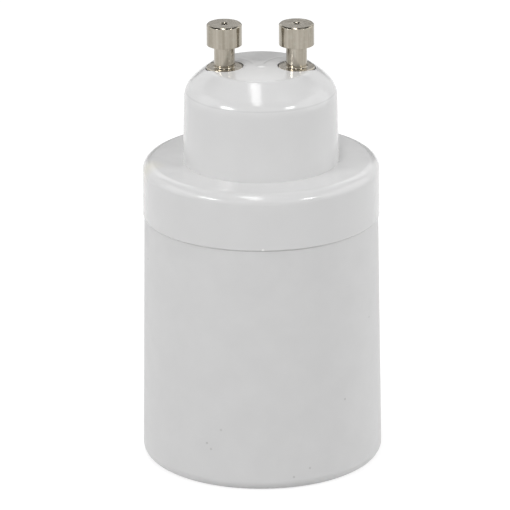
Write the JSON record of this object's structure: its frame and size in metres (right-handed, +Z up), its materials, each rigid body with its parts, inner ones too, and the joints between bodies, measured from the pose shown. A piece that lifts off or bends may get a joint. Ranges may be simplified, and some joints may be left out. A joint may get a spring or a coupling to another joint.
{
  "type": "lamp socket adapter",
  "caption": "White two-part socket adapter: a domed twist-lock plug with two flanged pins above a tapering sleeve that holds a screw lamp socket.",
  "frame": {"origin": "centre of the socket's mouth rim, on the surface it stands on", "axes": "+Z up along the adapter to the pins, +X from the left pin to the right pin"},
  "size_m": [0.0338, 0.0338, 0.0631],
  "materials": {
    "cap_plastic": "smooth moulded, glossy",
    "sleeve_plastic": "fine moulded satin",
    "shell_metal": "nickel plated, rolled",
    "spring_bronze": "bright phosphor bronze strip",
    "rivet_brass": "bright",
    "tinned_brass": "tinned",
    "pin_nickel": "turned, nickel plated",
    "washer_steel": "plain",
    "solder": "bright solder",
    "copper": "bare copper",
    "sleeving": "woven insulating sleeving"
  },
  "bodies": {
    "housing": {"centre_contact_rivet": "rivet_brass", "left_pin": "pin_nickel", "left_pin_washer": "washer_steel", "left_shell_rivet": "rivet_brass", "left_tip_solder": "solder", "live_conductor": "copper", "live_sleeving": "sleeving", "live_solder_tag": "tinned_brass", "live_tag_solder": "solder", "neutral_conductor": "copper", "neutral_sleeving": "sleeving", "neutral_solder_tag": "tinned_brass", "neutral_tag_solder": "solder", "plug_cap": "cap_plastic", "right_pin": "pin_nickel", "right_pin_washer": "washer_steel", "right_shell_rivet": "rivet_brass", "right_tip_solder": "solder", "screw_shell": "shell_metal", "socket_sleeve": "sleeve_plastic"},
    "contact_leaf": {"centre_contact": "spring_bronze"}
  },
  "joints": [
    {"name": "contact_flex", "type": "hinge", "parent": "housing", "child": "contact_leaf", "pos_m": [0, 0.0042, 0.0238], "axis": [-1, 0, 0], "range_deg": [0, 14], "stiffness_Nm_per_rad": 0.1, "deforming": ["centre_contact"]}
  ]
}
